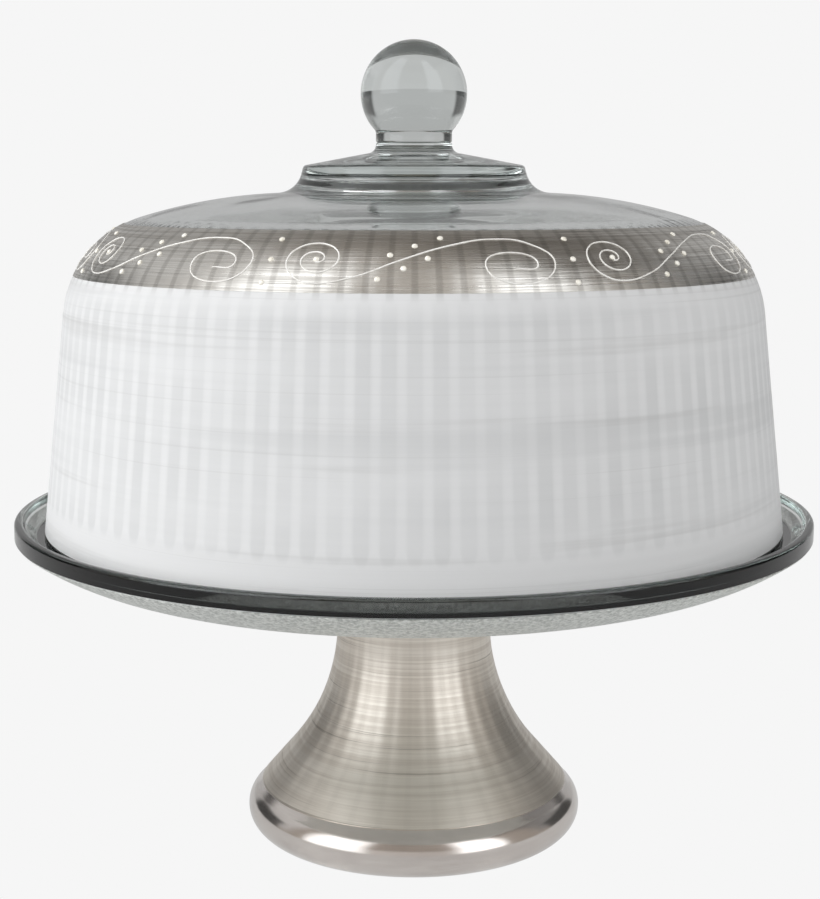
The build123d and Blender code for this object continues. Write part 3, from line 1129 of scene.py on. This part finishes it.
    def frosting(self) -> bpy.types.Object:
        """Turns the frosted coat on the wall."""
        start = self.foot + self.edge_gap
        centre, reach = self.shoulder_centre, self.shoulder_radius
        outline = Outline().go(self.wall_point(start, -HAIR_GAP))
        outline.steps(turned_point(centre, reach + HAIR_GAP, self.draft), 26)
        outline.arc(centre, reach + HAIR_GAP, self.draft, self.band_bottom, 8)
        outline.arc(centre, reach + self.coat, self.band_bottom, self.draft, 8)
        outline.steps(self.wall_point(start, -self.coat), 26)
        outline.go(outline.points[0])
        return spin_outline("frosted_band", outline.points, self.rib_count * 4)

    def make(self) -> None:
        """Makes and dresses every piece of the cover."""
        glass = ClearGlass("clear_glass_cover").make()
        finish_piece(self.bell(), Body.COVER, "dome_glass", glass)
        finish_piece(self.knob(), Body.COVER, "knob", glass)
        centre = self.shoulder_centre
        foil = BrushedBand(centre[0], centre[1], self.rib_count).make()
        finish_piece(self.band(), Body.COVER, "silver_band", foil)
        pattern = (self.foot + self.rib_start, self.foot + self.rib_top)
        frost = FrostedCoat(self.rib_count, *pattern).make()
        finish_piece(self.frosting(), Body.COVER, "frosted_band", frost)
        Decoration(self).make()


@dataclass
class Decoration:
    """The raised enamel on the silver band: eight scrolls and the dots round them.

    The pattern is laid out as (distance along a circle, distance up the shoulder).
    """

    cover: Cover
    steps: tuple[float, ...] = (46.4, 46.5, 44.5, 44.5, 44.5, 44.5, 44.5, 44.6)
    first: float = -136.2
    circle: float = 112.0 * MM
    start_elevation: float = 22.0
    middle: float = 30.0 * MM
    eye: Point = (0.7 * MM, 14.3 * MM)
    turns: float = 2.0
    spiral_start: float = 1.2 * MM
    spiral_end: float = 10.0 * MM
    squash: float = 0.84
    line_width: float = 0.50 * MM
    dot_radius: float = 0.95 * MM
    stroke: tuple[Point, ...] = ((13.0, 8.3), (24.4, 13.6), (40.0, 20.0), (54.0, 22.9))
    curl: tuple[Point, ...] = (
        (65.0, 20.6), (71.2, 12.6), (61.4, 5.6), (49.9, 12.0), (58.6, 16.9), (65.7, 12.1), (58.3, 10.6),
    )
    dots: tuple[Point, ...] = (
        (22.4, 16.1), (29.6, 19.9), (37.5, 23.6), (19.2, 7.4), (26.4, 11.1), (33.4, 14.8),
        (-12.9, 22.7), (-13.4, 14.0), (-14.2, 5.8),
    )

    def on_band(self, place: Point, out: float) -> Vector:
        """A pattern point in space, on a unit whose middle is on the +X side."""
        cover = self.cover
        elevation = self.start_elevation + math.degrees(place[1] / cover.shoulder_radius)
        turn = (place[0] - self.middle) / self.circle
        reach = cover.shoulder_radius + cover.coat + out
        radius, height = turned_point(cover.shoulder_centre, reach, elevation)
        return Vector((radius * math.cos(turn), radius * math.sin(turn), height))

    def route(self) -> list[Point]:
        """The scroll's path from the eye of its inner spiral to its open end."""
        places = []
        samples = 22
        for index in range(samples + 1):
            share = index / samples
            angle = math.radians(270 - 360 * self.turns * (1 - share))
            reach = self.spiral_start + (self.spiral_end - self.spiral_start) * share
            places.append((
                self.eye[0] + reach * math.cos(angle),
                self.eye[1] + self.squash * reach * math.sin(angle),
            ))
        return places + [(along * MM, climb * MM) for along, climb in self.stroke + self.curl]

    def scroll(self) -> bpy.types.Object:
        """Lays one raised line along the route."""
        places = [self.on_band(place, 0.07 * MM) for place in self.route()]
        bpy.ops.object.select_all(action="DESELECT")
        bpy.ops.curve.primitive_bezier_curve_add()
        line = bpy.context.object
        line.name = "scroll"
        curve = line.data
        curve.splines.clear()
        spline = curve.splines.new("BEZIER")
        spline.bezier_points.add(len(places) - 1)
        for knot, place in zip(spline.bezier_points, places):
            knot.co = place
            knot.handle_left_type = "AUTO"
            knot.handle_right_type = "AUTO"
            knot.radius = 1.0
        spline.bezier_points[0].radius = 1.5
        spline.bezier_points[-1].radius = 0.9
        spline.resolution_u = 7
        curve.bevel_depth = self.line_width / 2
        curve.bevel_resolution = 2
        curve.use_fill_caps = True
        bpy.ops.object.convert(target="MESH")
        bpy.ops.object.mode_set(mode="EDIT")
        weld_all(CAP_WELD)
        bpy.ops.mesh.normals_make_consistent(inside=False)
        bpy.ops.object.mode_set(mode="OBJECT")
        return bpy.context.object

    def bead(self, place: Point) -> bpy.types.Object:
        """Sets one low round dot on the band."""
        bpy.ops.object.select_all(action="DESELECT")
        spot = self.on_band(place, 0.0)
        out = self.on_band(place, MM) - spot
        bpy.ops.mesh.primitive_uv_sphere_add(segments=16, ring_count=10, radius=self.dot_radius)
        dot = bpy.context.object
        bpy.ops.object.mode_set(mode="EDIT")
        bpy.ops.mesh.select_all(action="SELECT")
        bpy.ops.transform.resize(value=(1, 1, 0.62), center_override=(0, 0, 0))
        bpy.ops.object.mode_set(mode="OBJECT")
        dot.matrix_world = Matrix.Translation(spot) @ out.to_track_quat("Z", "Y").to_matrix().to_4x4()
        bpy.ops.object.transform_apply(location=True, rotation=True, scale=True)
        return dot

    def repeat(self, unit: list[bpy.types.Object], name: str) -> bpy.types.Object:
        """Copies a unit round the band at its hand-painted spacing and joins it all.

        Args:
            unit: the pieces of one unit.
            name: the joined piece's name.

        Returns:
            The joined piece.
        """
        everything = []
        angle = self.first
        for step in self.steps:
            angle += step
            for part in unit:
                copy = part.copy()
                copy.data = part.data.copy()
                bpy.context.scene.collection.objects.link(copy)
                copy.matrix_world = Matrix.Rotation(math.radians(angle), 4, "Z")
                everything.append(copy)
        for part in unit:
            bpy.data.objects.remove(part, do_unlink=True)
        bpy.ops.object.select_all(action="DESELECT")
        for copy in everything:
            copy.select_set(True)
        bpy.context.view_layer.objects.active = everything[0]
        bpy.ops.object.transform_apply(location=True, rotation=True, scale=True)
        bpy.ops.object.join()
        joined = bpy.context.object
        joined.name = name
        joined.data.name = name
        return joined

    def make(self) -> None:
        """Makes the scrolls and the dots."""
        scrolls = self.repeat([self.scroll()], "enamel_scrolls")
        white = Enamel("white_enamel", (0.90, 0.89, 0.86, 1), (0.72, 0.70, 0.66, 1)).make()
        finish_piece(scrolls, Body.COVER, "scroll_lines", white, 60)
        places = [self.eye] + [(along * MM, climb * MM) for along, climb in self.dots]
        beads = self.repeat([self.bead(place) for place in places], "enamel_dots")
        ivory = Enamel("ivory_enamel", (0.95, 0.93, 0.86, 1), (0.80, 0.76, 0.66, 1)).make()
        finish_piece(beads, Body.COVER, "pearl_dots", ivory, 60)


# ------------------------------------------------------------------ studio


@dataclass(frozen=True)
class Window:
    """A soft bright or dark part of the room, by where it is seen from the object."""

    azimuth: float              # degrees to the right of straight in front
    half_width: float
    elevation: float            # degrees above the horizon
    half_height: float
    soft: float                 # degrees over which it fades
    colour: Colour

    def over(self, recipe: Recipe, azimuth: Value, elevation: Value, room: Value) -> Value:
        """Puts this window over the room's colour.

        Args:
            recipe: the world's recipe.
            azimuth: direction of the ray, in degrees.
            elevation: its elevation, in degrees.
            room: the colour so far.

        Returns:
            The colour with the window in it.
        """
        beside = (azimuth - self.azimuth).math("ABSOLUTE")
        above = (elevation - self.elevation).math("ABSOLUTE")
        share = recipe.ramp(beside, self.half_width + self.soft, self.half_width) * recipe.ramp(
            above, self.half_height + self.soft, self.half_height
        )
        return recipe.mix(share, room, self.colour)


def grey(level: float, warmth: float = 0.0) -> Colour:
    """A grey, warmer towards red where warmth is above 0."""
    return (level * (1 + warmth), level, level * (1 - warmth), 1)


@dataclass
class Studio:
    """A plain pale room with soft window light from both sides, and the camera."""

    paper: Colour = grey(0.9216)
    table: Colour = grey(0.60)          # what the floor gives back to the object
    back: Colour = grey(0.50)
    distance: float = 613.0 * MM
    height: float = 237.1 * MM
    side: float = -1.4 * MM
    pitch: float = 8.945
    lens: float = 68.08
    floor_size: float = 30.0
    windows: tuple[Window, ...] = (
        Window(0, 180, 90, 24, 16, grey(0.20, 0.10)),       # ceiling
        Window(0, 100, 20, 60, 24, grey(0.33, 0.10)),       # the room in front
        Window(0, 50, 8, 8, 6, grey(0.60, 0.03)),           # the far edge of the table
        Window(-56, 15, 34, 32, 12, grey(1.80, -0.02)),     # left window
        Window(47, 12, 34, 28, 10, grey(1.95, -0.02)),      # right window
        Window(-112, 12, 34, 22, 14, grey(0.60)),
        Window(112, 12, 34, 20, 14, grey(0.24)),
        Window(105, 42, 66, 16, 12, grey(0.12, 0.10)),
        Window(-122, 15, 3, 16, 7, grey(0.07)),             # dark doorways at both sides
        Window(122, 15, 3, 16, 7, grey(0.07)),
    )

    def world(self) -> None:
        """Lights the room: pale paper to the eye, windows and a dim room to the object."""
        bpy.context.scene.world = bpy.data.worlds.new("room")
        recipe = Recipe(bpy.context.scene.world)
        ray = recipe.node("TexCoord", None, None, "Generated")
        x, y, z = (recipe.node("SeparateXYZ", None, {"Vector": ray}, axis) for axis in ("X", "Y", "Z"))
        azimuth = recipe.math("ARCTAN2", x, 0 - y) * math.degrees(1)
        elevation = z.math("ARCSINE") * math.degrees(1)
        room = recipe.mix(recipe.ramp(elevation, -10, 0), self.table, self.back)
        for window in self.windows:
            room = window.over(recipe, azimuth, elevation, room)
        seen = recipe.node("LightPath", None, None, "Is Camera Ray")
        colour = recipe.mix(seen, room, self.paper)
        recipe.finish(recipe.node("Background", None, {"Color": colour, "Strength": 1.0}))

    def lamp(self, name: str, place: Point3, size: Point, power: float, target: Point3) -> None:
        """Adds one soft rectangular lamp that faces a point."""
        light = bpy.data.lights.new(name, "AREA")
        light.shape = "RECTANGLE"
        light.size, light.size_y = size
        light.energy = power
        lamp = bpy.data.objects.new(name, light)
        bpy.context.scene.collection.objects.link(lamp)
        lamp.visible_glossy = False         # the silver shows the room's windows instead
        lamp.location = place
        lamp.rotation_euler = (Vector(target) - Vector(place)).to_track_quat("-Z", "Y").to_euler()

    def floor(self) -> None:
        """Lays the pale floor."""
        bpy.ops.object.select_all(action="DESELECT")
        bpy.ops.mesh.primitive_circle_add(vertices=96, radius=self.floor_size, fill_type="NGON")
        floor = bpy.context.object
        floor.name = "studio_floor"
        recipe = Recipe.of_material("floor_paper")
        seen = recipe.node("LightPath", None, None, "Is Camera Ray")
        colour = recipe.mix(seen, self.table, self.paper)
        glow = recipe.node("Emission", None, {"Color": colour, "Strength": 1.0})
        floor.data.materials.append(recipe.finish(glow))

    def camera(self) -> None:
        """Stands the camera where the whole object is seen a little from above."""
        data = bpy.data.cameras.new("view")
        data.lens = self.lens
        camera = bpy.data.objects.new("view", data)
        bpy.context.scene.collection.objects.link(camera)
        camera.location = (self.side, -self.distance, self.height)
        camera.rotation_euler = (math.radians(90 - self.pitch), 0, 0)
        bpy.context.scene.camera = camera

    def make(self) -> None:
        """Sets the whole studio up."""
        scene = bpy.context.scene
        scene.view_settings.view_transform = "Standard"
        scene.cycles.max_bounces = 20
        scene.cycles.transmission_bounces = 16
        scene.cycles.glossy_bounces = 8
        self.world()
        self.floor()
        self.camera()
        middle = (0.0, 0.0, 0.15)
        self.lamp("window_left", (-1.40, -0.40, 0.60), (1.1, 1.4), 18.0, middle)
        self.lamp("window_right", (1.30, -0.60, 0.65), (0.6, 0.9), 4.5, middle)


def main() -> None:
    """Builds the object and the studio."""
    logging.basicConfig(level=logging.INFO, format="%(name)s: %(message)s")
    Stand().make()
    Cover().make()
    Studio().make()


if __name__ == "__main__":
    main()
